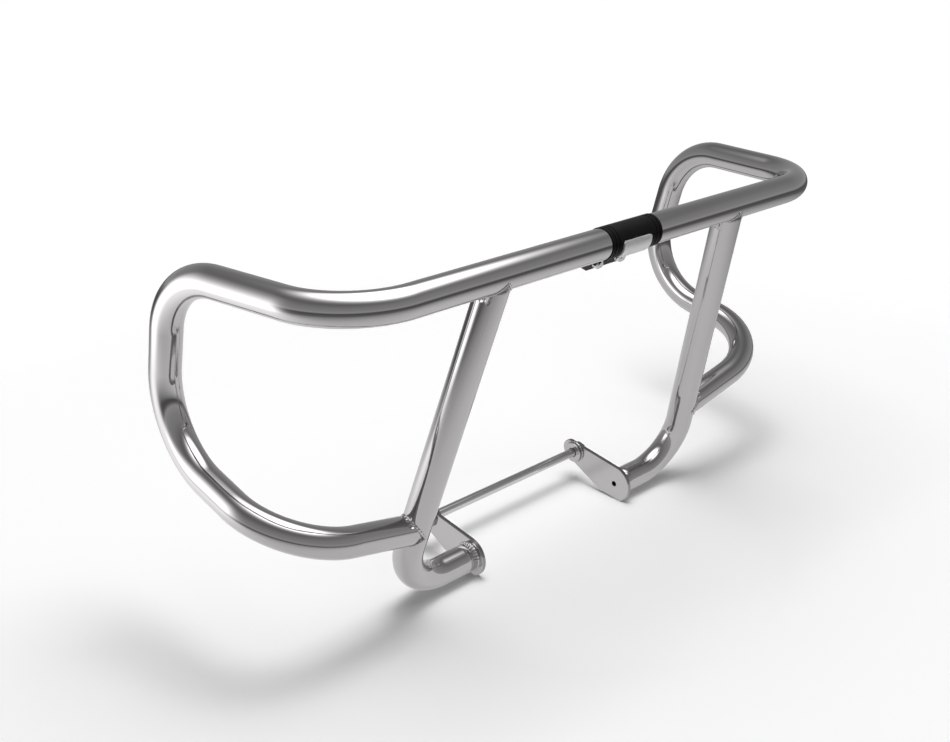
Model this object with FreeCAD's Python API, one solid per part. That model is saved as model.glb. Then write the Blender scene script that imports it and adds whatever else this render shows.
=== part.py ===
import FreeCAD, Part
import math
import os

# Motorcycle crash bars: a bent tube guard with a clamp for the single down tube of the frame.
# Millimetres. +X is the rider's left, +Y the rear of the motorcycle, +Z up.
# Every piece is worked out from the middle of the top bar, and moved at the end so that
# the origin is in the middle of the clamp, on the down tube's axis.

# Tubes
tube_radius = 16.0
tube_wall = 2.0

# Top bar and side loops: the corners of the bent centre line on the left side
front_corner_x = 351.5
loop_side_x = 384.0
loop_top_y = 221.5
loop_back_y = 270.5
loop_back_drop = 190.0
loop_front_y = 62.5
loop_front_drop = 235.0
loop_bend_radius = 83.5

# Struts: from the top bar down to the foot, then inward to the plates
strut_top_x = 178.0
foot_x = 232.0
foot_y = 95.0
foot_drop = 360.0
strut_bend_radius = 56.5
loop_meets_strut = 0.773

# Plates at the feet
plate_gap_half = 120.5
plate_thickness = 5.0
plate_big_radius = 22.8
plate_chamfer = 0.6
plate_chord_depth = 19.3
plate_chord_reach = 22.0
plate_chord_angle = 6.0
plate_tail_radius = 11.8
plate_tail_back = 7.5
plate_tail_up = 1.3
vent_radius = 3.25

# Through stud, its bosses and its nuts
stud_y = 161.3
stud_drop = 339.5
stud_shank_radius = 5.5
stud_thread_radius = 6.0
stud_clearance = 0.3
stud_overhang = 1.5
boss_radius = 13.0
boss_thickness = 4.5
boss_edge_radius = 1.0
stud_nut_across_flats = 18.0
stud_nut_thickness = 6.0
stud_nut_turn = 12.0
nut_corner_chamfer = 0.6

# Weld beads
saddle_weld_on_first = 2.2
saddle_weld_on_second = 2.6
weld_reach = 50.0
strut_plate_weld = 3.0
boss_weld = 1.5
weld_crown = 0.56

# Sleeve round the middle of the top bar
sleeve_middle_x = 2.0
sleeve_half_length = 38.0
sleeve_clearance = 0.1
sleeve_thickness = 0.7
sleeve_lip_width = 3.2
sleeve_groove_width = 2.0
sleeve_groove_depth = 0.45
sleeve_band_width = 3.0
sleeve_open_above = 26.0
sleeve_open_below = 46.0

# Bare badge that lies on the front of the sleeve
badge_middle_x = 0.5
badge_half_width = 21.0
badge_thickness = 1.6
badge_top_angle = 11.0
badge_low_angle = 58.0
badge_corner = 3.0

# Clamp on the frame's down tube
down_tube_lean = 12.0
down_tube_radius = 12.7
liner_thickness = 1.5
liner_length = 20.0
clamp_plate_half_width = 33.0
clamp_plate_thickness = 5.0
clamp_plate_above = 2.0
clamp_plate_below = 38.5
clamp_plate_corner = 5.0
clamp_weld_half_length = 27.0
clamp_weld_angle = 40.0
clamp_weld_leg = 11.0
clamp_weld_root = 3.0
clamp_weld_top_angle = 22.0
clamp_weld_top_reach = 3.0
clamp_weld_top_drop = 1.0
clamp_drop = 31.0
u_bolt_radius = 3.0
u_bolt_hole_clearance = 0.4
u_bolt_overhang = 2.0
clamp_washer_radius = 6.2
clamp_washer_thickness = 1.4
clamp_nut_across_flats = 10.0
clamp_nut_thickness = 5.0
clamp_nut_turn = 20.0

# How much longer a cutting tool is than what it cuts
tool_overrun = 1.0

SIDES = {"left": 1.0, "right": -1.0}
X_AXIS = FreeCAD.Vector(1, 0, 0)


def point(x, y, z):
    return FreeCAD.Vector(x, y, z)


# Directions of the down tube seen from the side: along it, and away from the top bar
lean = math.radians(down_tube_lean)
along_tube = point(0, -math.sin(lean), math.cos(lean))
behind_bar = point(0, math.cos(lean), math.sin(lean))
clamp_face_front = tube_radius
clamp_face_back = clamp_face_front + clamp_plate_thickness
liner_radius = down_tube_radius + liner_thickness
down_tube_behind = clamp_face_back + liner_radius
u_bolt_leg_x = liner_radius + u_bolt_radius


def clamp_point(x, behind, along):
    """A point by its distance behind the top bar's axis and its height along the down tube."""
    return X_AXIS * x + behind_bar * behind + along_tube * along


clamp_centre = clamp_point(0, down_tube_behind, -clamp_drop)

# Faces of the plates, and the corners of the centre lines
plate_outer_x = plate_gap_half + plate_thickness
boss_face_x = plate_gap_half - boss_thickness


def strut_corners(side):
    top = point(side * strut_top_x, 0, 0)
    foot = point(side * foot_x, foot_y, -foot_drop)
    end = point(side * plate_outer_x, foot_y, -foot_drop)
    return [top, foot, end]


def loop_corners(side):
    top, foot, end = strut_corners(side)
    return [
        point(side * front_corner_x, 0, 0),
        point(side * loop_side_x, loop_top_y, 0),
        point(side * loop_side_x, loop_back_y, -loop_back_drop),
        point(side * loop_side_x, loop_front_y, -loop_front_drop),
        top + (foot - top) * loop_meets_strut,
    ]


def bent_path(corners, bend_radius):
    """Straight runs through the corners, joined by tangent arcs of one radius."""
    edges = []
    start = corners[0]
    for before, corner, after in zip(corners, corners[1:], corners[2:]):
        into = (corner - before).normalize()
        out = (after - corner).normalize()
        half_turn = into.getAngle(out) / 2
        tangent = bend_radius * math.tan(half_turn)
        arc_start = corner - into * tangent
        arc_end = corner + out * tangent
        inward = (out - into).normalize()
        centre = corner + inward * (bend_radius / math.cos(half_turn))
        middle = centre - inward * bend_radius
        edges.append(Part.LineSegment(start, arc_start).toShape())
        edges.append(Part.Arc(arc_start, middle, arc_end).toShape())
        start = arc_end
    edges.append(Part.LineSegment(start, corners[-1]).toShape())
    return Part.Wire(edges)


def rod_along(path, radius):
    first = path.Edges[0]
    direction = first.tangentAt(first.FirstParameter)
    circle = Part.Circle(path.Vertexes[0].Point, direction, radius).toShape()
    return path.makePipeShell([Part.Wire([circle])], True, True)


def tube_along(path):
    return rod_along(path, tube_radius).cut(rod_along(path, tube_radius - tube_wall))


def cylinder_between(start, end, radius):
    span = end - start
    return Part.makeCylinder(radius, span.Length, start, span)


def straight_bar(radius):
    """The straight stretch of the top bar as a solid cylinder, for cuts that fit on it."""
    reach = point(strut_top_x + weld_reach, 0, 0)
    return cylinder_between(reach * -1, reach, radius)


def straight_strut(side, radius):
    top, foot = strut_corners(side)[:2]
    return cylinder_between(top, foot, radius)


def main_bar():
    """One tube from fish-mouth to fish-mouth, over the top bar and round both loops."""
    corners = loop_corners(SIDES["right"])[::-1] + loop_corners(SIDES["left"])
    tube = tube_along(bent_path(corners, loop_bend_radius))
    for side in SIDES.values():
        tube = tube.cut(straight_strut(side, tube_radius))
    return largest_solid(tube)


def strut(side):
    tube = tube_along(bent_path(strut_corners(side), strut_bend_radius))
    return largest_solid(tube.cut(straight_bar(tube_radius)))


def largest_solid(shape):
    """What is left of a tube past its fish-mouth falls away."""
    return max(shape.Solids, key=lambda solid: solid.Volume)


def saddle_weld(first_start, first_end, second_start, second_end):
    """A bead in the corner between two crossing tubes, where both surfaces are near."""
    near_both = cylinder_between(first_start, first_end, tube_radius + saddle_weld_on_first).common(
        cylinder_between(second_start, second_end, tube_radius + saddle_weld_on_second))
    first = cylinder_between(first_start, first_end, tube_radius)
    second = cylinder_between(second_start, second_end, tube_radius)
    return near_both.cut(first).cut(second)


def bar_strut_weld(side):
    top, foot = strut_corners(side)[:2]
    reach = X_AXIS * weld_reach
    down = (foot - top).normalize() * weld_reach
    return saddle_weld(top - reach, top + reach, top, top + down)


def loop_strut_weld(side):
    top, foot = strut_corners(side)[:2]
    corner, meeting = loop_corners(side)[-2:]
    reach = (foot - top).normalize() * weld_reach
    outward = (corner - meeting).normalize() * weld_reach
    return saddle_weld(meeting - reach, meeting + reach, meeting, meeting + outward)


def ring_weld(centre, direction, radius, leg):
    """A bead round a cylinder that stands on a flat face, with a slightly rounded front."""
    across = point(0, 0, 1)
    corner = centre + across * radius
    on_face = corner + across * leg
    on_side = corner + direction * leg
    crown = corner + (across + direction) * (leg * weld_crown)
    outline = Part.Wire([
        Part.LineSegment(corner, on_face).toShape(),
        Part.Arc(on_face, crown, on_side).toShape(),
        Part.LineSegment(on_side, corner).toShape(),
    ])
    return Part.Face(outline).revolve(centre, direction, 360)


def strut_plate_weld_ring(side):
    centre = point(side * plate_outer_x, foot_y, -foot_drop)
    return ring_weld(centre, X_AXIS * side, tube_radius, strut_plate_weld)


def boss_weld_ring(side):
    centre = point(side * plate_gap_half, stud_y, -stud_drop)
    ring = ring_weld(centre, X_AXIS * -side, boss_radius, boss_weld)
    return ring.common(plate_blank(side, -boss_thickness, plate_thickness, 0.0))


def tangent_points(first, first_radius, second, second_radius, side):
    """Ends of the line that touches two circles on one side; a radius of 0 is a plain point."""
    run = second - first
    angle = math.atan2(run.z, run.y) + side * math.acos((first_radius - second_radius) / run.Length)
    away = point(0, math.cos(angle), math.sin(angle))
    return first + away * first_radius, second + away * second_radius


def plate_blank(side, start, thickness, grow):
    """The plate's outline, from start beyond the inner face outward, grown by a margin."""
    x = side * (plate_gap_half + start)
    big = point(x, foot_y, -foot_drop)
    tail = point(x, stud_y + plate_tail_back, -stud_drop + plate_tail_up)
    big_radius = plate_big_radius + grow
    tail_radius = plate_tail_radius + grow
    slope = math.radians(plate_chord_angle)
    chord = point(0, math.cos(slope), math.sin(slope))
    below = point(0, math.sin(slope), -math.cos(slope))
    depth = plate_chord_depth + grow
    chord_front = big + below * depth - chord * math.sqrt(big_radius ** 2 - depth ** 2)
    chord_back = big + below * depth + chord * plate_chord_reach
    tail_low = tangent_points(chord_back, 0.0, tail, tail_radius, -1)[1]
    big_top, tail_top = tangent_points(big, big_radius, tail, tail_radius, 1)
    tail_tip = tail + (tail - big).normalize() * tail_radius
    big_nose = big - (tail - big).normalize() * big_radius
    outline = Part.Wire([
        Part.LineSegment(chord_front, chord_back).toShape(),
        Part.LineSegment(chord_back, tail_low).toShape(),
        Part.Arc(tail_low, tail_tip, tail_top).toShape(),
        Part.LineSegment(tail_top, big_top).toShape(),
        Part.Arc(big_top, big_nose, chord_front).toShape(),
    ])
    return Part.Face(outline).extrude(X_AXIS * (side * thickness))


def stud_hole(side):
    start = point(side * (boss_face_x - tool_overrun), stud_y, -stud_drop)
    end = point(side * (plate_outer_x + tool_overrun), stud_y, -stud_drop)
    return cylinder_between(start, end, stud_thread_radius + stud_clearance)


def plate(side):
    blank = plate_blank(side, 0.0, plate_thickness, 0.0)
    rims = [edge for edge in blank.Edges if edge.BoundBox.XLength < plate_thickness / 2]
    vent_start = point(side * (plate_gap_half - tool_overrun), foot_y, -foot_drop)
    vent_end = point(side * (plate_outer_x + tool_overrun), foot_y, -foot_drop)
    vent = cylinder_between(vent_start, vent_end, vent_radius)
    return blank.makeChamfer(plate_chamfer, rims).cut(vent).cut(stud_hole(side))


def boss(side):
    base = point(side * plate_gap_half, stud_y, -stud_drop)
    body = Part.makeCylinder(boss_radius, boss_thickness, base, X_AXIS * -side)
    face_edge = min(body.Edges, key=lambda edge: abs(edge.BoundBox.Center.x))
    return body.makeFillet(boss_edge_radius, [face_edge]).cut(stud_hole(side))


def through_stud():
    """One long stud: a plain shank between the bosses, and thread at both ends."""
    middle = point(0, stud_y, -stud_drop)
    shank_half = boss_face_x + boss_thickness / 2
    thread_half = plate_outer_x + stud_nut_thickness + stud_overhang
    shank = cylinder_between(middle - X_AXIS * shank_half, middle + X_AXIS * shank_half, stud_shank_radius)
    solid = shank
    for side in SIDES.values():
        start = middle + X_AXIS * (side * shank_half)
        end = middle + X_AXIS * (side * thread_half)
        thread = cylinder_between(start, end, stud_thread_radius)
        tip = max(thread.Edges, key=lambda edge: abs(edge.BoundBox.Center.x))
        solid = solid.fuse(thread.makeChamfer(nut_corner_chamfer, [tip]))
    return solid


def hexagon_nut(centre, direction, thickness, across_flats, bore_radius, turn):
    """A nut whose outer corners are cut back by a cone; it stands on centre, along direction."""
    corner_radius = across_flats / math.sqrt(3)
    side_way = direction.cross(X_AXIS if abs(direction.x) < 0.5 else point(0, 0, 1)).normalize()
    other_way = direction.cross(side_way)
    corners = []
    for step in range(7):
        angle = math.radians(60 * step + turn)
        corners.append(centre + side_way * (corner_radius * math.cos(angle))
                       + other_way * (corner_radius * math.sin(angle)))
    prism = Part.Face(Part.makePolygon(corners)).extrude(direction * thickness)
    top_radius = across_flats / 2
    slope = (corner_radius - top_radius) / nut_corner_chamfer
    cone = Part.makeCone(top_radius + slope * thickness, top_radius, thickness, centre, direction)
    bore_start = centre - direction * tool_overrun
    bore = Part.makeCylinder(bore_radius, thickness + 2 * tool_overrun, bore_start, direction)
    return prism.common(cone).cut(bore)


def stud_nut(side):
    centre = point(side * plate_outer_x, stud_y, -stud_drop)
    return hexagon_nut(centre, X_AXIS * side, stud_nut_thickness, stud_nut_across_flats,
                       stud_thread_radius, stud_nut_turn)


def thickness_edges(four_sided_plate):
    """The edges at a plate's four corners, which run through its thickness: its shortest."""
    return sorted(four_sided_plate.Edges, key=lambda edge: edge.Length)[:4]


def sleeve():
    """A thin split sleeve with a lip, a groove and a raised band at each end."""
    inner = tube_radius + sleeve_clearance
    outer = inner + sleeve_thickness
    groove = outer - sleeve_groove_depth
    lip_x = sleeve_half_length - sleeve_lip_width
    groove_x = lip_x - sleeve_groove_width
    band_x = groove_x - sleeve_band_width
    steps = [(sleeve_half_length, outer), (lip_x, outer), (lip_x, groove), (groove_x, groove),
             (groove_x, outer), (band_x, outer), (band_x, groove), (band_x - sleeve_groove_width, groove),
             (band_x - sleeve_groove_width, outer)]
    profile = [(sleeve_half_length, inner)] + steps
    profile += [(-x, r) for x, r in steps[::-1]] + [(-sleeve_half_length, inner)]
    start = math.radians(sleeve_open_above)
    corners = [clamp_point(x, r * math.cos(start), r * math.sin(start)) for x, r in profile]
    face = Part.Face(Part.makePolygon(corners + corners[:1]))
    face.translate(X_AXIS * sleeve_middle_x)
    return face.revolve(point(0, 0, 0), X_AXIS, 360 - sleeve_open_above - sleeve_open_below)


def badge():
    """A bare curved plate on the sleeve, with rounded corners, from above the front to below it."""
    inner = tube_radius + sleeve_clearance + sleeve_thickness
    outer = inner + badge_thickness
    top = math.radians(badge_top_angle)
    corners = []
    for x, r in [(-badge_half_width, inner), (badge_half_width, inner),
                 (badge_half_width, outer), (-badge_half_width, outer)]:
        corners.append(point(badge_middle_x + x, -r * math.cos(top), r * math.sin(top)))
    face = Part.Face(Part.makePolygon(corners + corners[:1]))
    plate_body = face.revolve(point(0, 0, 0), X_AXIS, badge_top_angle + badge_low_angle)
    return plate_body.makeFillet(badge_corner, thickness_edges(plate_body))


def clamp_prism(corners, start, length):
    """A straight piece along the top bar, from an outline given behind and along the down tube."""
    outline = [clamp_point(start, behind, along) for behind, along in corners]
    return Part.Face(Part.makePolygon(outline + outline[:1])).extrude(X_AXIS * length)


def u_bolt_holes(radius):
    holes = []
    for side in SIDES.values():
        front = clamp_point(side * u_bolt_leg_x, 0, -clamp_drop)
        holes.append(Part.makeCylinder(radius, down_tube_behind, front, behind_bar))
    return holes


def clamp_plate():
    """A flat plate that touches the back of the top bar along one line."""
    blank = clamp_prism([(clamp_face_front, clamp_plate_above), (clamp_face_back, clamp_plate_above),
                         (clamp_face_back, -clamp_plate_below), (clamp_face_front, -clamp_plate_below)],
                        -clamp_plate_half_width, 2 * clamp_plate_half_width)
    corners = sorted(thickness_edges(blank), key=lambda edge: edge.BoundBox.Center.dot(along_tube))
    low_corners = corners[:2]
    rounded = blank.makeFillet(clamp_plate_corner, low_corners)
    for hole in u_bolt_holes(u_bolt_radius + u_bolt_hole_clearance):
        rounded = rounded.cut(hole)
    return rounded


def clamp_plate_weld():
    """One bead under the bar, in front of the plate, and one on the plate's top edge."""
    low = math.radians(clamp_weld_angle)
    high = math.radians(clamp_weld_top_angle)
    start = -clamp_weld_half_length
    length = 2 * clamp_weld_half_length
    lower = clamp_prism([(clamp_face_front, -clamp_weld_root), (clamp_face_front, -clamp_weld_leg),
                         (tube_radius * math.cos(low), -tube_radius * math.sin(low)),
                         (tube_radius * math.cos(low) - tool_overrun, -clamp_weld_root)], start, length)
    upper = clamp_prism([(clamp_face_front - tool_overrun, clamp_plate_above),
                         (clamp_face_front + clamp_weld_top_reach, clamp_plate_above),
                         (tube_radius * math.cos(high), tube_radius * math.sin(high)),
                         (clamp_face_front - clamp_weld_top_reach, clamp_plate_above + clamp_weld_top_drop)],
                        start, length)
    bar = straight_bar(tube_radius)
    return Part.makeCompound([largest_solid(lower.cut(bar)), largest_solid(upper.cut(bar))])


def clamp_u_bolt():
    """A rod of two straight legs and a half turn round the back of the liner."""
    front = clamp_face_front - clamp_washer_thickness - clamp_nut_thickness - u_bolt_overhang
    ends = [clamp_point(side * u_bolt_leg_x, front, -clamp_drop) for side in (-1, 1)]
    bends = [clamp_point(side * u_bolt_leg_x, down_tube_behind, -clamp_drop) for side in (-1, 1)]
    back = clamp_point(0, down_tube_behind + u_bolt_leg_x, -clamp_drop)
    path = Part.Wire([
        Part.LineSegment(ends[0], bends[0]).toShape(),
        Part.Arc(bends[0], back, bends[1]).toShape(),
        Part.LineSegment(bends[1], ends[1]).toShape(),
    ])
    return rod_along(path, u_bolt_radius)


def clamp_washers():
    washers = []
    for side in SIDES.values():
        centre = clamp_point(side * u_bolt_leg_x, clamp_face_front, -clamp_drop)
        disc = Part.makeCylinder(clamp_washer_radius, clamp_washer_thickness, centre, behind_bar * -1)
        for hole in u_bolt_holes(u_bolt_radius + u_bolt_hole_clearance):
            disc = disc.cut(hole)
        washers.append(disc)
    return Part.makeCompound(washers)


def clamp_nuts():
    nuts = []
    for side in SIDES.values():
        centre = clamp_point(side * u_bolt_leg_x, clamp_face_front - clamp_washer_thickness, -clamp_drop)
        nuts.append(hexagon_nut(centre, behind_bar * -1, clamp_nut_thickness, clamp_nut_across_flats,
                                u_bolt_radius, clamp_nut_turn * side))
    return Part.makeCompound(nuts)


def clamp_liner():
    """A rubber ring between the down tube and the steel."""
    low = clamp_point(0, down_tube_behind, -clamp_drop - liner_length / 2)
    outside = Part.makeCylinder(liner_radius, liner_length, low, along_tube)
    return outside.cut(Part.makeCylinder(down_tube_radius, liner_length, low, along_tube))


def all_pieces():
    pieces = {
        "main_bar": main_bar(),
        "through_stud": through_stud(),
        "sleeve": sleeve(),
        "badge": badge(),
        "clamp_plate": clamp_plate(),
        "weld_clamp_plate": clamp_plate_weld(),
        "clamp_u_bolt": clamp_u_bolt(),
        "clamp_washers": clamp_washers(),
        "clamp_nuts": clamp_nuts(),
        "clamp_liner": clamp_liner(),
    }
    for name, side in SIDES.items():
        pieces["strut_" + name] = strut(side)
        pieces["plate_" + name] = plate(side)
        pieces["boss_" + name] = boss(side)
        pieces["stud_nut_" + name] = stud_nut(side)
        pieces["weld_bar_strut_" + name] = bar_strut_weld(side)
        pieces["weld_loop_strut_" + name] = loop_strut_weld(side)
        pieces["weld_strut_plate_" + name] = strut_plate_weld_ring(side)
        pieces["weld_boss_" + name] = boss_weld_ring(side)
    return pieces


os.makedirs("parts", exist_ok=True)
for node, shape in all_pieces().items():
    shape.translate(clamp_centre * -1)
    shape.exportStep("parts/" + node + ".step")
    print(node, len(shape.Solids), shape.isValid(), round(shape.Volume, 1))
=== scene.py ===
import math

import bpy
import mathutils
import numpy as np
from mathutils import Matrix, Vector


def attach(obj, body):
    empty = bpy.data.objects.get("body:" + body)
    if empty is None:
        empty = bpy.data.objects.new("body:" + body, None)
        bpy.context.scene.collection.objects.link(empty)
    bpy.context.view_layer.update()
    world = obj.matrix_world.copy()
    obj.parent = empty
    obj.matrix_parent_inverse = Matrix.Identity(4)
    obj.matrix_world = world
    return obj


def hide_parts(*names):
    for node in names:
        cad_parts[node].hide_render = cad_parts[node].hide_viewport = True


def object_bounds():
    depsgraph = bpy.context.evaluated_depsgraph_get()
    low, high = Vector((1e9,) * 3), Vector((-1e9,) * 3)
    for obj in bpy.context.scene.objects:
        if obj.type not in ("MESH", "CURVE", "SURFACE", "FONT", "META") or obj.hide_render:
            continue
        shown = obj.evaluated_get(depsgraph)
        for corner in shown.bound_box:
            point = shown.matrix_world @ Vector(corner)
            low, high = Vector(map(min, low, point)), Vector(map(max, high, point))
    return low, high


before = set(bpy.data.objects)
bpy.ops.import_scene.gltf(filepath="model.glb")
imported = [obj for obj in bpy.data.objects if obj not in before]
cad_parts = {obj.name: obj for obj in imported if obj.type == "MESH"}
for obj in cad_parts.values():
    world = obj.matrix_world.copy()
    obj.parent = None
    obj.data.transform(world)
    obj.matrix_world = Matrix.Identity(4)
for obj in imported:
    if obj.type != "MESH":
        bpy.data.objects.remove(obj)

# Everything is in metres, in the part's frame: +X to the rider's left, +Y to the rear of the
# motorcycle, +Z up, with the origin in the middle of the down tube clamp.
MM = 0.001

cad_low, cad_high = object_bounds()

# Middle of the top bar, from which the guard is measured
BAR_MIDDLE = np.array([0.0, -40.876, 23.004]) * MM

# Tubes
TUBE_RADIUS = 16.0 * MM
TUBE_WALL = 2.0 * MM
LOOP_BEND = 83.5 * MM
STRUT_BEND = 56.5 * MM
FRONT_CORNER = np.array([351.5, 0.0, 0.0]) * MM
LOOP_TOP = np.array([384.0, 221.5, 0.0]) * MM
LOOP_BACK = np.array([384.0, 270.5, -190.0]) * MM
LOOP_FRONT = np.array([384.0, 62.5, -235.0]) * MM
STRUT_TOP = np.array([178.0, 0.0, 0.0]) * MM
STRUT_FOOT = np.array([232.0, 95.0, -360.0]) * MM
PLATE_OUTER_X = 125.5 * MM
PLATE_INNER_X = 120.5 * MM
LOOP_MEETS_STRUT = 0.773
STRUT_BORE_SHOWN = 40.0 * MM

# Through stud
STUD_AXIS = np.array([0.0, 161.3, -339.5]) * MM
BOSS_RADIUS = 13.0 * MM

# Foot plates: the vent, where the painted shade round its hole fades out, and where the square of a normal's
# X turns from that of a cut edge into that of a face
VENT_RADIUS = 3.25 * MM
VENT_SHADE_EDGE = (1.03 * VENT_RADIUS, 1.10 * VENT_RADIUS)
PLATE_FACE_TURN = (0.3, 0.7)

# Weld beads: half the width of each kind, and the first of its two seeds
BAR_BEAD = 1.1 * MM
LOOP_BEAD = 1.5 * MM
FOOT_BEAD = 1.4 * MM
BOSS_BEAD = 0.8 * MM
BAR_SEED = 11
LOOP_SEED = 21
FOOT_SEED = 31
BOSS_SEED = 41

# A bead's shape: the length of a ripple, and the rest as shares of its half width
RIPPLE_PITCH = 4.2 * MM
RIPPLE_HEIGHT = 0.30
BEAD_LEAST = 0.82
BEAD_UNEVENNESS = 0.07
BEAD_WAVER = 0.03
BEAD_SQUASH = 0.85
BEAD_LEAN = 0.12
SLOW_WAVES = 5
SADDLE_START = 5 * TUBE_RADIUS

# How finely the surfaces are cut
TUBE_SIDES = 96
BEAD_SIDES = 16
BEAD_STEPS = 360
ARC_STEP = math.radians(1.5)
RUN_STEP = 12.0 * MM

SIDES = {"left": 1.0, "right": -1.0}
ALONG_BAR = np.array([1.0, 0.0, 0.0])
REARWARD = np.array([0.0, 1.0, 0.0])
UPWARD = np.array([0.0, 0.0, 1.0])
BAR_LINE = (np.zeros(3), ALONG_BAR)


def unit(vectors):
    """Each vector over its length."""
    vectors = np.asarray(vectors, float)
    return vectors / np.linalg.norm(vectors, axis=-1, keepdims=True)


def even_turns(count):
    """The angles of a full turn in even steps."""
    return np.linspace(0, 2 * math.pi, count, endpoint=False)


def circle(first, second, count):
    """Unit directions round a circle, which sets out along the first toward the second."""
    angles = even_turns(count)
    return np.outer(np.cos(angles), first) + np.outer(np.sin(angles), second)


def turned(vector, axis, angles):
    """One vector turned about a unit axis by each angle: its part along the axis stays, the rest swings."""
    angles = np.asarray(angles)[:, None]
    along = axis * np.dot(axis, vector)
    return along + (vector - along) * np.cos(angles) + np.cross(axis, vector) * np.sin(angles)


def bent_line(corners, bend_radius):
    """A centre line of straight runs and tangent arcs.

    Gives the points, the headings, one cross direction that never twists, and the distance gone.
    Each arc swings the point, the heading and the cross direction about the bend's own axis.
    """
    heading = unit(corners[1] - corners[0])
    across = unit(np.cross(heading, UPWARD))
    points, headings, crosses = [corners[:1]], [heading[None]], [across[None]]

    def run_to(end):
        """Rings along a straight run, from the last point up to its end."""
        start = points[-1][-1]
        count = max(1, int(np.linalg.norm(end - start) / RUN_STEP))
        shares = np.linspace(0, 1, count + 1)[1:, None]
        points.append(start + (end - start) * shares)
        headings.append(np.repeat(heading[None], count, axis=0))
        crosses.append(np.repeat(across[None], count, axis=0))

    for corner, after in zip(corners[1:-1], corners[2:]):
        out = unit(after - corner)
        turn = math.acos(np.clip(np.dot(heading, out), -1, 1))
        axis = unit(np.cross(heading, out))
        start = corner - heading * bend_radius * math.tan(turn / 2)
        run_to(start)
        centre = start + np.cross(axis, heading) * bend_radius
        angles = np.linspace(0, turn, max(3, int(turn / ARC_STEP)))[1:]
        points.append(centre + turned(start - centre, axis, angles))
        headings.append(turned(heading, axis, angles))
        crosses.append(turned(across, axis, angles))
        heading, across = headings[-1][-1], crosses[-1][-1]
    run_to(corners[-1])
    points = np.concatenate(points)
    steps = np.linalg.norm(np.diff(points, axis=0), axis=1)
    return points, np.concatenate(headings), np.concatenate(crosses), np.concatenate([[0], np.cumsum(steps)])


def grid_faces(rings, across, closed_along=False):
    """Four-cornered faces of a grid of closed rings, row by row, facing out of a ring that turns to
    the left. With closed_along, the last ring joins the first."""
    rows = rings if closed_along else rings - 1
    row, column = np.meshgrid(np.arange(rows), np.arange(across), indexing="ij")
    next_row = (row + 1) % rings
    next_column = (column + 1) % across
    quads = [row * across + column, row * across + next_column,
             next_row * across + next_column, next_row * across + column]
    return np.stack(quads, axis=-1).reshape(-1, 4)


def add_piece(name, points, faces, material, grid=None, smooth=True):
    """Makes a piece that rides on the guard. grid is a UV place for each corner of each face, and
    smooth is true or false for all faces or for each."""
    mesh = bpy.data.meshes.new(name)
    mesh.from_pydata(np.asarray(points).tolist(), [], [list(map(int, face)) for face in faces])
    if grid is not None:
        layer = mesh.uv_layers.new(name="surface")
        layer.data.foreach_set("uv", np.asarray(grid, np.float32).ravel())
    mesh.polygons.foreach_set("use_smooth", np.broadcast_to(smooth, len(mesh.polygons)).tolist())
    mesh.materials.append(material)
    mesh.update()
    piece = bpy.data.objects.new(name, mesh)
    bpy.context.scene.collection.objects.link(piece)
    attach(piece, "root")
    return piece


def slide_to_tube(points, heading, line):
    """Distance from each point, along the heading, to where it first meets the outside of a tube.
    The tube is given by its line: a point on it and its unit direction."""
    line_point, axis = line
    offset = points - line_point
    offset = offset - np.outer(offset @ axis, axis)
    sideways = heading - axis * np.dot(heading, axis)
    a = np.dot(sideways, sideways)
    b = offset @ sideways
    c = np.sum(offset ** 2, axis=1) - TUBE_RADIUS ** 2
    return (-b - np.sqrt(np.maximum(b * b - a * c, 0))) / a


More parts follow.
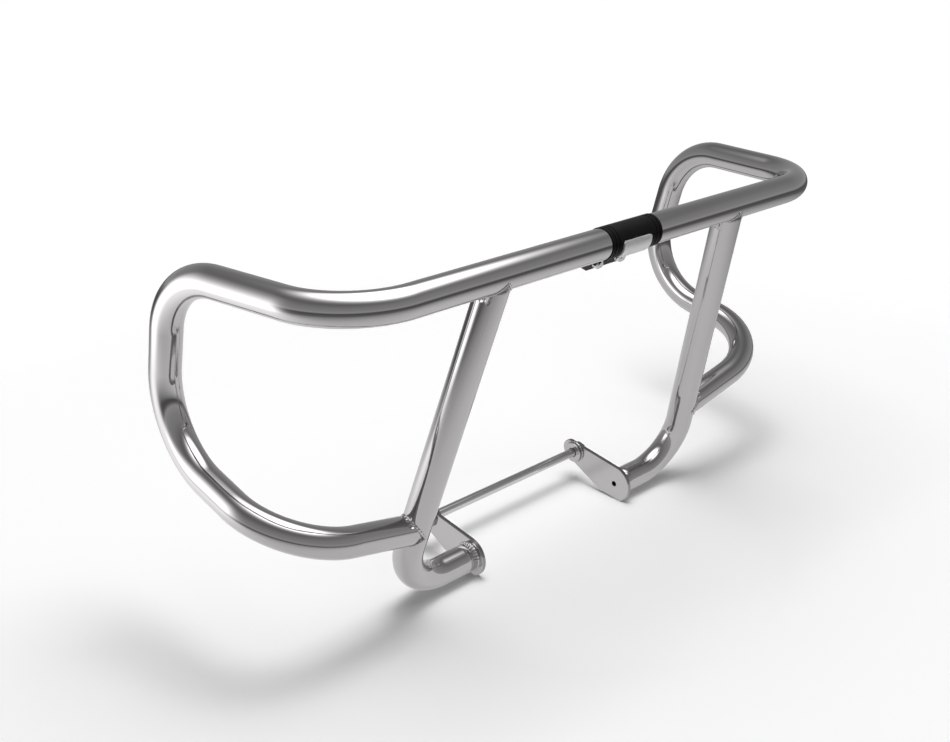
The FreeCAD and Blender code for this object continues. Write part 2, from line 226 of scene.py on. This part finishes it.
def tube(name, corners, bend_radius, start_on=None, end_on=None, open_end=0.0):
    """A tube's skin: circles across the centre line. An end that is given the line of another tube
    is slid along its own line onto that tube, which is a fish-mouth. With open_end, the last end
    shows its wall and a bore of that depth."""
    points, headings, crosses, gone = bent_line(corners, bend_radius)
    angles = even_turns(TUBE_SIDES)
    thirds = np.cross(headings, crosses)
    rings = (points[:, None] + TUBE_RADIUS * (crosses[:, None] * np.cos(angles)[:, None]
                                              + thirds[:, None] * np.sin(angles)[:, None]))
    distance = np.repeat(gone[:, None], TUBE_SIDES, axis=1)
    for index, other, way in ((0, start_on, -1), (-1, end_on, 1)):
        if other is not None:
            slide = slide_to_tube(rings[index], way * headings[index], other)
            rings[index] += np.outer(slide, way * headings[index])
            distance[index] += way * slide
    if open_end:
        centre = points[-1]
        bore = centre + (rings[-1] - centre) * (1 - TUBE_WALL / TUBE_RADIUS)
        back = headings[-1] * open_end
        rings = np.concatenate([rings, bore[None], (bore - back)[None]])
        past_wall = distance[-1:] + TUBE_WALL
        distance = np.concatenate([distance, past_wall, past_wall + open_end])
    count = len(rings)
    vertices = np.concatenate([rings.reshape(-1, 3), rings[[0, -1]].mean(axis=1)])
    faces = grid_faces(count, TUBE_SIDES)
    around = np.arange(TUBE_SIDES)
    following = (around + 1) % TUBE_SIDES
    first_cap = np.stack([np.full(TUBE_SIDES, count * TUBE_SIDES), following, around], axis=1)
    last = (count - 1) * TUBE_SIDES
    last_middle = np.full(TUBE_SIDES, count * TUBE_SIDES + 1)
    last_cap = np.stack([last_middle, last + around, last + following], axis=1)
    u = np.arange(TUBE_SIDES + 1) * (2 * math.pi * TUBE_RADIUS / TUBE_SIDES)
    v = np.concatenate([distance, distance[:, :1]], axis=1)
    u_grid = np.broadcast_to(u, v.shape)
    flat = np.stack([u_grid, v], axis=-1)
    corner_uv = np.stack([flat[:-1, :-1], flat[:-1, 1:], flat[1:, 1:], flat[1:, :-1]], axis=2)
    cap_corners = first_cap.size + last_cap.size
    uv = np.concatenate([corner_uv.reshape(-1, 2), np.zeros((cap_corners, 2))])
    all_faces = [*faces, *first_cap, *last_cap]
    # The end caps are flat, and so is the ring of wall that an open end shows
    smooth = np.ones(len(all_faces), bool)
    smooth[-2 * TUBE_SIDES:] = False
    if open_end:
        smooth[(count - 3) * TUBE_SIDES:(count - 2) * TUBE_SIDES] = False
    return add_piece(name, vertices + BAR_MIDDLE, all_faces, POLISHED, uv, smooth)


def bead(name, points, first_normals, second_normals, radius, seed):
    """A closed weld bead: a small oval carried along a loop of points, leaning into the corner
    between two surfaces, with ripples along it and a slow unevenness."""
    tangents = unit(np.roll(points, -1, axis=0) - np.roll(points, 1, axis=0))
    out = first_normals + second_normals
    out = unit(out - tangents * np.sum(out * tangents, axis=1, keepdims=True))
    side = np.cross(tangents, out)
    gone = np.cumsum(np.linalg.norm(points - np.roll(points, 1, axis=0), axis=1))
    phase = 2 * math.pi * gone / gone[-1]
    ripples = round(gone[-1] / RIPPLE_PITCH)
    shifts = np.random.default_rng(seed).uniform(0, 2 * math.pi, SLOW_WAVES)
    slow = sum(np.sin(phase * k + shifts[k - 1]) / k for k in range(1, SLOW_WAVES + 1)) * BEAD_UNEVENNESS
    waver = BEAD_WAVER * np.sin(phase * (ripples // 3) + shifts[0])
    quick = RIPPLE_HEIGHT * np.abs(np.sin(phase * ripples / 2)) + waver
    size = radius * (BEAD_LEAST + slow + quick)
    angles = even_turns(BEAD_SIDES)
    lean = BEAD_LEAN * radius
    rings = (points[:, None] + out[:, None] * lean
             + size[:, None, None] * (out[:, None] * np.cos(angles)[:, None] * BEAD_SQUASH
                                      + side[:, None] * np.sin(angles)[:, None]))
    faces = grid_faces(len(points), BEAD_SIDES, closed_along=True)
    return add_piece(name, rings.reshape(-1, 3) + BAR_MIDDLE, faces, WELD)


def away_from(points, line):
    """Unit directions from a tube's centre line out to the points."""
    line_point, axis = line
    offset = points - line_point
    return unit(offset - np.outer(offset @ axis, axis))


def saddle_bead(name, line, other_line, radius, seed):
    """A bead along the curve where a tube that comes in along its line meets another tube."""
    line_point, axis = line
    across = unit(np.cross(axis, other_line[1]))
    ring = line_point + TUBE_RADIUS * circle(across, np.cross(axis, across), BEAD_STEPS)
    ring = ring + np.outer(slide_to_tube(ring, axis, other_line), axis)
    return bead(name, ring, away_from(ring, line), away_from(ring, other_line), radius, seed)


def flat_bead(name, centre, facing, foot_radius, radius, seed):
    """A bead round a round piece that stands on a flat face across the part's X."""
    radial = circle(REARWARD, UPWARD, BEAD_STEPS)
    points = centre + foot_radius * radial
    return bead(name, points, radial, np.broadcast_to(facing, radial.shape), radius, seed)


class Signal:
    """A number that changes over a surface. Arithmetic with it adds Math nodes."""

    def __init__(self, graph, socket):
        self.graph = graph
        self.socket = socket

    def __add__(self, other):
        return self.graph.math("ADD", self, other)

    __radd__ = __add__

    def __mul__(self, other):
        return self.graph.math("MULTIPLY", self, other)

    __rmul__ = __mul__

    def __sub__(self, other):
        return self.graph.math("SUBTRACT", self, other)

    def __rsub__(self, other):
        return self.graph.math("SUBTRACT", other, self)

    def limited(self, low, high):
        return self.graph.math("MAXIMUM", self.graph.math("MINIMUM", self, high), low)


class Graph:
    """The nodes of one material or of the world."""

    def __init__(self, tree):
        self.tree = tree
        tree.nodes.clear()

    def add(self, kind, sockets=None, **settings):
        """A node of this kind, with its settings and the values or links of its sockets."""
        node = self.tree.nodes.new(kind)
        for key, value in settings.items():
            setattr(node, key, value)
        for key, value in (sockets or {}).items():
            if isinstance(value, Signal):
                self.tree.links.new(value.socket, node.inputs[key])
            elif isinstance(value, bpy.types.NodeSocket):
                self.tree.links.new(value, node.inputs[key])
            else:
                node.inputs[key].default_value = value
        return node

    def result(self, kind, sockets=None, **settings):
        """The first output of a new node."""
        return self.add(kind, sockets, **settings).outputs[0]

    def math(self, operation, first, second=0.0):
        """A Math node's number. Operations on one number leave the second out."""
        return Signal(self, self.result("ShaderNodeMath", {0: first, 1: second}, operation=operation))

    def coordinates(self, kind):
        return self.add("ShaderNodeTexCoord").outputs[kind]

    def parts(self, vector):
        """The three numbers of a vector."""
        outputs = self.add("ShaderNodeSeparateXYZ", {0: vector}).outputs
        return [Signal(self, output) for output in outputs]

    def place(self, scale):
        """Object coordinates, in metres, stretched by a scale in each direction."""
        return self.result("ShaderNodeMapping", {"Vector": self.coordinates("Object"), "Scale": scale})

    def round_tube(self, around, along):
        """A place on a tube's skin, from its UV map: the circle it lies on, so that a pattern
        closes up, and the way along. Both are in metres, stretched by a scale."""
        sideways, forward, _ = self.parts(self.result("ShaderNodeUVMap", uv_map="surface"))
        angle = sideways * (1.0 / TUBE_RADIUS)
        across = self.math("COSINE", angle) * (TUBE_RADIUS * around)
        upward = self.math("SINE", angle) * (TUBE_RADIUS * around)
        return self.result("ShaderNodeCombineXYZ", {0: across, 1: upward, 2: forward * along})

    def noise(self, vector, detail):
        sockets = {"Vector": vector, "Scale": 1.0, "Detail": detail}
        return Signal(self, self.result("ShaderNodeTexNoise", sockets))

    def speckle(self, scale, detail):
        """Noise over the part, at the same scale in each direction."""
        return self.noise(self.place((scale, scale, scale)), detail)

    def mix_colour(self, amount, first, second):
        """A colour between two, each a socket or three numbers."""
        sockets = {0: amount}
        for key, colour in ((6, first), (7, second)):
            sockets[key] = (*colour, 1.0) if isinstance(colour, tuple) else colour
        return self.add("ShaderNodeMix", sockets, data_type="RGBA").outputs[2]

    def bump(self, height, strength, distance):
        sockets = {"Height": height, "Strength": strength, "Distance": distance}
        return self.result("ShaderNodeBump", sockets)

    def ramp(self, value, stops):
        """A grey that follows the value through stops, each a value and its grey."""
        node = self.add("ShaderNodeValToRGB", {0: value})
        elements = node.color_ramp.elements
        while len(elements) < len(stops):
            elements.new(1.0)
        for element, (position, grey) in zip(elements, stops):
            element.position = position
            element.color = (grey, grey, grey, 1.0)
        return node.outputs[0]


def rising(value, low, high):
    """0 below low, 1 above high, and an even slope between."""
    return ((value - low) * (1.0 / (high - low))).limited(0.0, 1.0)


def new_material(name):
    material = bpy.data.materials.new(name)
    material.use_nodes = True
    return material, Graph(material.node_tree)


def surface_material(name, sockets):
    """A material with one Principled shader; sockets is a function of its graph."""
    material, graph = new_material(name)
    shader = graph.result("ShaderNodeBsdfPrincipled", sockets(graph))
    graph.add("ShaderNodeOutputMaterial", {"Surface": shader})
    return material


def polished_tube(graph):
    """Polished stainless tube: fine streaks along the tube, faint cloudiness, hairline bump."""
    streaks = graph.noise(graph.round_tube(2200.0, 18.0), 2.0)
    cloud = graph.noise(graph.round_tube(14.0, 9.0), 3.0)
    colour = graph.mix_colour(cloud, (0.545, 0.53, 0.535), (0.575, 0.56, 0.565))
    return {
        "Base Color": colour,
        "Metallic": 1.0,
        "Roughness": streaks * 0.03 + cloud * 0.03 + 0.035,
        "Normal": graph.bump(streaks, 0.015, 0.0003),
    }


def satin_plate(graph):
    """Laser-cut stainless sheet: bright polished faces, dull dark cut edges, and a vent hole
    whose wall is painted black, dull and not metallic, as painted shade for the dark inside of the hole."""
    grain = graph.speckle(900.0, 3.0)
    cloud = graph.speckle(25.0, 3.0)
    sideways, _, _ = graph.parts(graph.coordinates("Normal"))
    edge = 1.0 - rising(sideways * sideways, *PLATE_FACE_TURN)
    _, rearward, upward = graph.parts(graph.coordinates("Object"))
    _, foot_y, foot_z = (BAR_MIDDLE + STRUT_FOOT).tolist()
    behind = rearward - foot_y
    above = upward - foot_z
    distance = graph.math("SQRT", behind * behind + above * above)
    # Painted shade: round the vent the plate is painted black, dull and not metallic, standing in for the
    # shade inside the hole
    vent = 1.0 - rising(distance, *VENT_SHADE_EDGE)
    face = graph.mix_colour(cloud, (0.585, 0.57, 0.575), (0.635, 0.62, 0.625))
    cut = graph.mix_colour(edge, face, (0.34, 0.33, 0.33))
    return {
        "Base Color": graph.mix_colour(vent, cut, (0.004, 0.004, 0.004)),
        "Metallic": 1.0 - vent,
        "Roughness": grain * 0.04 + cloud * 0.03 + edge * 0.08 + vent * 0.5 + 0.07,
        "Normal": graph.bump(grain, 0.03, 0.0003),
    }


def weld_metal(graph):
    """Brushed weld metal: uneven and slightly darker in places."""
    lumps = graph.speckle(420.0, 4.0)
    stain = graph.speckle(90.0, 2.0)
    colour = graph.mix_colour(stain, (0.46, 0.45, 0.44), (0.66, 0.65, 0.64))
    return {
        "Base Color": colour,
        "Metallic": 1.0,
        "Roughness": lumps * 0.10 + 0.05,
        "Normal": graph.bump(lumps, 0.15, 0.0004),
    }


def zinc_plate(graph):
    """Bright zinc plate with a faint mottle."""
    mottle = graph.speckle(300.0, 3.0)
    return {
        "Base Color": graph.mix_colour(mottle, (0.68, 0.67, 0.67), (0.76, 0.75, 0.75)),
        "Metallic": 1.0,
        "Roughness": mottle * 0.02 + 0.015,
        "Normal": graph.bump(mottle, 0.006, 0.0003),
    }


def dark_steel(graph):
    """Dark passivated steel of the stud's nuts."""
    mottle = graph.speckle(260.0, 3.0)
    return {
        "Base Color": graph.mix_colour(mottle, (0.26, 0.26, 0.265), (0.38, 0.38, 0.385)),
        "Metallic": 1.0,
        "Roughness": mottle * 0.15 + 0.25,
        "Normal": graph.bump(mottle, 0.08, 0.0003),
    }


def powder_coat(graph):
    """Black powder coat: a fine orange-peel bump under a satin surface."""
    peel = graph.speckle(1100.0, 2.0)
    return {
        "Base Color": graph.mix_colour(peel, (0.012, 0.012, 0.012), (0.024, 0.024, 0.024)),
        "Roughness": peel * 0.12 + 0.34,
        "Normal": graph.bump(peel, 0.12, 0.0002),
    }


def sleeve_skin(graph):
    """Satin black sleeve with a fine moulded grain."""
    grain = graph.speckle(1600.0, 2.0)
    cloud = graph.speckle(60.0, 2.0)
    return {
        "Base Color": graph.mix_colour(cloud, (0.003, 0.003, 0.003), (0.006, 0.006, 0.006)),
        "Roughness": grain * 0.10 + cloud * 0.08 + 0.30,
        "Specular IOR Level": 0.09,
        "Normal": graph.bump(grain, 0.10, 0.0002),
    }


def rubber(graph):
    """Matt black rubber."""
    grain = graph.speckle(700.0, 3.0)
    return {
        "Base Color": graph.mix_colour(grain, (0.014, 0.014, 0.014), (0.028, 0.028, 0.028)),
        "Roughness": grain * 0.15 + 0.65,
        "Normal": graph.bump(grain, 0.15, 0.0003),
    }


def pale_badge(graph):
    """Satin pale metal of the bare badge."""
    grain = graph.noise(graph.place((60.0, 2400.0, 2400.0)), 2.0)
    return {
        "Base Color": graph.mix_colour(grain, (0.78, 0.78, 0.78), (0.86, 0.86, 0.86)),
        "Metallic": 0.6,
        "Roughness": grain * 0.10 + 0.30,
        "Normal": graph.bump(grain, 0.05, 0.0002),
    }


POLISHED = surface_material("polished_steel", polished_tube)
SATIN = surface_material("satin_steel", satin_plate)
WELD = surface_material("weld_steel", weld_metal)
PLATED = surface_material("plated_steel", zinc_plate)
DARK = surface_material("dark_steel", dark_steel)
PAINT = surface_material("black_paint", powder_coat)
SLEEVE = surface_material("black_sleeve", sleeve_skin)
RUBBER = surface_material("black_rubber", rubber)
BADGE = surface_material("badge_metal", pale_badge)


def mirrored(point, side):
    return point * np.array([side, 1.0, 1.0])


def strut_line(side):
    """A point on a strut's straight run and the unit direction down it."""
    top = mirrored(STRUT_TOP, side)
    return top, unit(mirrored(STRUT_FOOT, side) - top)


def plate_centre(side):
    """Where a strut's axis meets the outer face of its foot plate."""
    return np.array([side * PLATE_OUTER_X, *STRUT_FOOT[1:]])


def loop_corners(side):
    top = mirrored(STRUT_TOP, side)
    foot = mirrored(STRUT_FOOT, side)
    meeting = top + (foot - top) * LOOP_MEETS_STRUT
    return np.array([mirrored(FRONT_CORNER, side), mirrored(LOOP_TOP, side), mirrored(LOOP_BACK, side),
                     mirrored(LOOP_FRONT, side), meeting])


def make_tubes():
    corners = np.concatenate([loop_corners(SIDES["right"])[::-1], loop_corners(SIDES["left"])])
    bar = tube("main_bar_skin", corners, LOOP_BEND,
               start_on=strut_line(SIDES["right"]), end_on=strut_line(SIDES["left"]))
    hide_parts("main_bar")
    for name, side in SIDES.items():
        corners = np.array([mirrored(STRUT_TOP, side), mirrored(STRUT_FOOT, side), plate_centre(side)])
        strut = tube("strut_skin_" + name, corners, STRUT_BEND, start_on=BAR_LINE, open_end=STRUT_BORE_SHOWN)
        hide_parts("strut_" + name)


def make_welds():
    """The beads at the joints of the tubes and round the bosses. A saddle's ring starts well back
    on its own tube and slides along it onto the other."""
    for number, (name, side) in enumerate(SIDES.items()):
        top, down = strut_line(side)
        line = (top + down * SADDLE_START, -down)
        top_bead = saddle_bead("bar_bead_" + name, line, BAR_LINE, BAR_BEAD, BAR_SEED + number)
        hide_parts("weld_bar_strut_" + name)
        before, meeting = loop_corners(side)[-2:]
        inward = unit(meeting - before)
        line = (meeting - inward * SADDLE_START, inward)
        side_bead = saddle_bead("loop_bead_" + name, line, (top, down), LOOP_BEAD, LOOP_SEED + number)
        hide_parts("weld_loop_strut_" + name)
        facing = side * ALONG_BAR
        foot_bead = flat_bead("plate_bead_" + name, plate_centre(side), facing, TUBE_RADIUS, FOOT_BEAD,
                              FOOT_SEED + number)
        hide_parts("weld_strut_plate_" + name)
        boss_centre = STUD_AXIS + PLATE_INNER_X * facing
        boss_bead = flat_bead("boss_bead_" + name, boss_centre, -facing, BOSS_RADIUS, BOSS_BEAD,
                              BOSS_SEED + number)
        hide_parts("weld_boss_" + name)


NODE_MATERIALS = {
    "plate_left": SATIN, "plate_right": SATIN, "boss_left": SATIN, "boss_right": SATIN,
    "stud_nut_left": DARK, "stud_nut_right": DARK, "through_stud": PLATED,
    "clamp_plate": PAINT, "weld_clamp_plate": PAINT, "clamp_u_bolt": PLATED,
    "clamp_washers": PLATED, "clamp_nuts": PLATED, "clamp_liner": RUBBER, "sleeve": SLEEVE,
    "badge": BADGE,
}


def dress_nodes():
    for node, material in NODE_MATERIALS.items():
        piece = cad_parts[node]
        for slot in piece.material_slots:
            slot.material = material


# Camera: the photograph's place and lens, from the fit of the bent centre lines. The lens is a
# focal length in pixels of the picture, and the sensor's width is in millimetres, as Blender has it.
CAMERA_AZIMUTH = math.radians(43.361)
CAMERA_ELEVATION = math.radians(22.768)
CAMERA_DISTANCE = 1182.02 * MM
CAMERA_AIM_RIGHT = -149.40 * MM
CAMERA_AIM_UP = -133.84 * MM
LENS_PIXELS = 1181.97
PICTURE_WIDTH = 950
SENSOR_WIDTH = 36.0
NEAREST_SEEN = 50.0 * MM


def make_camera():
    level = np.array([math.sin(CAMERA_AZIMUTH), math.cos(CAMERA_AZIMUTH), 0.0])
    ahead = level * math.cos(CAMERA_ELEVATION) - UPWARD * math.sin(CAMERA_ELEVATION)
    right = np.array([math.cos(CAMERA_AZIMUTH), -math.sin(CAMERA_AZIMUTH), 0.0])
    up = np.cross(right, ahead)
    aim = BAR_MIDDLE + right * CAMERA_AIM_RIGHT + up * CAMERA_AIM_UP
    place = aim - ahead * CAMERA_DISTANCE
    data = bpy.data.cameras.new("camera")
    data.sensor_width = SENSOR_WIDTH
    data.lens = LENS_PIXELS / PICTURE_WIDTH * SENSOR_WIDTH
    data.clip_start = NEAREST_SEEN
    camera = bpy.data.objects.new("camera", data)
    matrix = np.eye(4)
    matrix[:3, 0] = right
    matrix[:3, 1] = up
    matrix[:3, 2] = -ahead
    matrix[:3, 3] = place
    camera.matrix_world = mathutils.Matrix(matrix.tolist())
    bpy.context.scene.collection.objects.link(camera)
    bpy.context.scene.camera = camera


# Floor as the camera sees it: its white, how fast it is lifted further out, and where it fades
FLOOR_RADIUS = 1.7
FLOOR_GAP = 0.2 * MM
FLOOR_WHITE = 0.86
FLOOR_LIFT = 0.61
FLOOR_LIFT_FROM = 0.23
FLOOR_FADE = (0.91, 1.34)

# Floor as the metal sees it: its level near and far, where it rises and fades round its own middle,
# how much of it is even rather than lit, and the glow by the side card
FLOOR_METAL_NEAR = 0.62
FLOOR_METAL_FAR = 0.87
FLOOR_METAL_MIDDLE = (0.03, 0.25)
FLOOR_METAL_RISE = (0.1, 0.6)
FLOOR_METAL_FADE = (0.34, 1.46)
FLOOR_EVENNESS = 0.7
FLOOR_GLOW = 2.1
FLOOR_GLOW_MIDDLE = (-0.80, 0.49)
FLOOR_GLOW_SPREAD = 0.336

# Walls: places from straight down, 0, to straight up, 1, each with its grey
WALL_STOPS = [(0.0, 0.14), (0.375, 0.14), (0.425, 0.10), (0.455, 0.15), (0.475, 0.26), (0.49, 0.35),
              (0.50, 0.41), (0.535, 0.38), (0.605, 0.33), (0.705, 0.30), (0.795, 0.24), (0.87, 0.18),
              (1.0, 0.17)]

# Cards that the metal mirrors, each with a glow's peak and the level that cuts it off, and the lamp
DISC_SIDES = 128
TOP_CARD_PLACE = BAR_MIDDLE + np.array([6.0, 70.0, 767.0]) * MM
TOP_CARD_STRENGTH = 9.1
TOP_CARD_MOST = 2.3
TOP_CARD_SPREAD = 396.0 * MM
TOP_CARD_RADIUS = 1030.0 * MM
SIDE_CARD_PLACE = BAR_MIDDLE + np.array([-726.0, 510.0, -110.0]) * MM
SIDE_CARD_TURN = math.radians(-69.1)
SIDE_CARD_STRENGTH = 3.0
SIDE_CARD_MOST = 1.83
SIDE_CARD_HALF_WIDTH = 221.0 * MM
SIDE_CARD_SIDE_EDGE = 45.0 * MM
SIDE_CARD_TOP = BAR_MIDDLE[2] + 29.0 * MM
SIDE_CARD_TOP_EDGE = 105.0 * MM
SIDE_CARD_BOTTOM = BAR_MIDDLE[2] - 254.0 * MM
SIDE_CARD_BOTTOM_EDGE = 40.0 * MM
SIDE_CARD_RADIUS = 600.0 * MM
KEY_DIAMETER = 560.0 * MM
KEY_WATTS = 6.2


def distance_from(graph, place):
    """How far a point of the surface is from a place, in metres."""
    sockets = {0: graph.coordinates("Object"), 1: tuple(place)}
    node = graph.add("ShaderNodeVectorMath", sockets, operation="DISTANCE")
    return Signal(graph, node.outputs["Value"])


def bell(graph, place, spread):
    """exp(-(distance / spread)^2), which is 1 at the place."""
    reach = distance_from(graph, place) * (1.0 / spread)
    return graph.math("EXPONENT", reach * reach * -1.0)


def soft_end(graph, past, edge):
    """1 / (1 + exp(past / edge)): 1 well before an end, half on it, and 0 well past it."""
    return graph.math("DIVIDE", 1.0, graph.math("EXPONENT", past * (1.0 / edge)) + 1.0)


def add_disc(name, centre, facing, radius, material):
    """A flat round piece of the studio: a circle across its facing direction."""
    across = unit(np.cross(facing, REARWARD))
    points = centre + radius * circle(across, np.cross(facing, across), DISC_SIDES)
    mesh = bpy.data.meshes.new(name)
    mesh.from_pydata(points.tolist(), [], [list(range(DISC_SIDES))])
    mesh.materials.append(material)
    disc = bpy.data.objects.new(name, mesh)
    bpy.context.scene.collection.objects.link(disc)
    return disc


def floor_to_camera(graph, white, clear, centre, to_camera):
    """The lit floor, lifted a little more the further out it is, so that it stays white, and
    fading into the white behind it."""
    reach = distance_from(graph, centre)
    further = (reach - FLOOR_LIFT_FROM).limited(0.0, FLOOR_RADIUS)
    lift = graph.result("ShaderNodeEmission", {"Strength": further * FLOOR_LIFT * to_camera})
    lifted = graph.result("ShaderNodeAddShader", {0: white, 1: lift})
    gone = rising(reach, *FLOOR_FADE)
    return graph.result("ShaderNodeMixShader", {0: gone, 1: lifted, 2: clear})


def floor_in_metal(graph, white, clear, height):
    """The floor at a more even level, paler further out and by the side card, and fading into the
    dark past its rim."""
    reach = distance_from(graph, (*FLOOR_METAL_MIDDLE, height))
    rise = rising(reach, *FLOOR_METAL_RISE) * (FLOOR_METAL_FAR - FLOOR_METAL_NEAR)
    glow = bell(graph, (*FLOOR_GLOW_MIDDLE, height), FLOOR_GLOW_SPREAD) * FLOOR_GLOW
    even = graph.result("ShaderNodeEmission", {"Strength": rise + FLOOR_METAL_NEAR + glow})
    level = graph.result("ShaderNodeMixShader", {0: FLOOR_EVENNESS, 1: white, 2: even})
    gone = rising(reach, *FLOOR_METAL_FADE)
    return graph.result("ShaderNodeMixShader", {0: gone, 1: level, 2: clear})


def make_floor():
    """A pale round floor under the lowest point, with one look for the camera and for the light
    that it throws back, and another for the metal."""
    centre = np.array([0.0, 0.0, cad_low[2] - FLOOR_GAP])
    material, graph = new_material("floor")
    pale = (FLOOR_WHITE, FLOOR_WHITE, FLOOR_WHITE, 1.0)
    white = graph.result("ShaderNodeBsdfDiffuse", {"Color": pale})
    clear = graph.result("ShaderNodeBsdfTransparent")
    ray = graph.add("ShaderNodeLightPath").outputs
    seen = floor_to_camera(graph, white, clear, centre, Signal(graph, ray["Is Camera Ray"]))
    in_metal = floor_in_metal(graph, white, clear, centre[2])
    shader = graph.result("ShaderNodeMixShader", {0: ray["Is Glossy Ray"], 1: seen, 2: in_metal})
    graph.add("ShaderNodeOutputMaterial", {"Surface": shader})
    add_disc("floor", centre, UPWARD, FLOOR_RADIUS, material)


def make_card(name, place, facing, radius, strength):
    """A clear disc that glows by strength, a function of its graph, for the metal to mirror."""
    material, graph = new_material(name)
    glow = graph.result("ShaderNodeEmission", {"Strength": strength(graph)})
    clear = graph.result("ShaderNodeBsdfTransparent")
    shader = graph.result("ShaderNodeAddShader", {0: glow, 1: clear})
    graph.add("ShaderNodeOutputMaterial", {"Surface": shader})
    card = add_disc(name, place, facing, radius, material)
    card.visible_camera = False
    return card


def top_glow(graph):
    """A wide soft glow that is cut off level over its middle."""
    return (bell(graph, TOP_CARD_PLACE, TOP_CARD_SPREAD) * TOP_CARD_STRENGTH).limited(0.0, TOP_CARD_MOST)


def side_glow(graph):
    """A soft upright box: fading at its two sides and upward, and crisper along its foot."""
    level = np.array([math.cos(SIDE_CARD_TURN), -math.sin(SIDE_CARD_TURN), 0.0])
    place = graph.coordinates("Object")
    along = graph.add("ShaderNodeVectorMath", {0: place, 1: tuple(level)}, operation="DOT_PRODUCT")
    from_middle = Signal(graph, along.outputs["Value"]) - float(np.dot(level, SIDE_CARD_PLACE))
    sideways = graph.math("ABSOLUTE", from_middle)
    _, _, height = graph.parts(place)
    glow = soft_end(graph, sideways - SIDE_CARD_HALF_WIDTH, SIDE_CARD_SIDE_EDGE) * SIDE_CARD_STRENGTH
    glow = glow * soft_end(graph, height - SIDE_CARD_TOP, SIDE_CARD_TOP_EDGE)
    glow = glow * soft_end(graph, SIDE_CARD_BOTTOM - height, SIDE_CARD_BOTTOM_EDGE)
    return glow.limited(0.0, SIDE_CARD_MOST)


def make_lights():
    """Two cards that the metal mirrors, the upper of which also lights the floor, and a soft lamp in
    its place, which the metal doesn't mirror, for the floor's light and shadow."""
    make_card("top_card", TOP_CARD_PLACE, -UPWARD, TOP_CARD_RADIUS, top_glow)
    facing = np.array([-math.sin(SIDE_CARD_TURN), -math.cos(SIDE_CARD_TURN), 0.0])
    side = make_card("side_card", SIDE_CARD_PLACE, facing, SIDE_CARD_RADIUS, side_glow)
    side.visible_diffuse = False
    data = bpy.data.lights.new("key", "AREA")
    data.shape = "DISK"
    data.size = KEY_DIAMETER
    data.energy = KEY_WATTS
    key = bpy.data.objects.new("key", data)
    key.location = TOP_CARD_PLACE
    key.visible_glossy = False
    key.visible_camera = False
    bpy.context.scene.collection.objects.link(key)


def make_world():
    """White where the camera looks past the object. For light and reflections it is a studio of
    grey walls, palest at the horizon and dark under it."""
    world = bpy.data.worlds.new("studio")
    world.use_nodes = True
    bpy.context.scene.world = world
    graph = Graph(world.node_tree)
    _, _, upward = graph.parts(graph.coordinates("Generated"))
    grey = graph.ramp(upward * 0.5 + 0.5, WALL_STOPS)
    walls = graph.result("ShaderNodeBackground", {"Color": grey, "Strength": 1.0})
    white = graph.result("ShaderNodeBackground", {"Color": (1.0, 1.0, 1.0, 1.0), "Strength": 1.0})
    to_camera = graph.add("ShaderNodeLightPath").outputs["Is Camera Ray"]
    shader = graph.result("ShaderNodeMixShader", {0: to_camera, 1: walls, 2: white})
    graph.add("ShaderNodeOutputWorld", {"Surface": shader})


make_camera()
make_tubes()
make_welds()
dress_nodes()
make_floor()
make_lights()
make_world()
bpy.context.scene.view_settings.view_transform = "Standard"
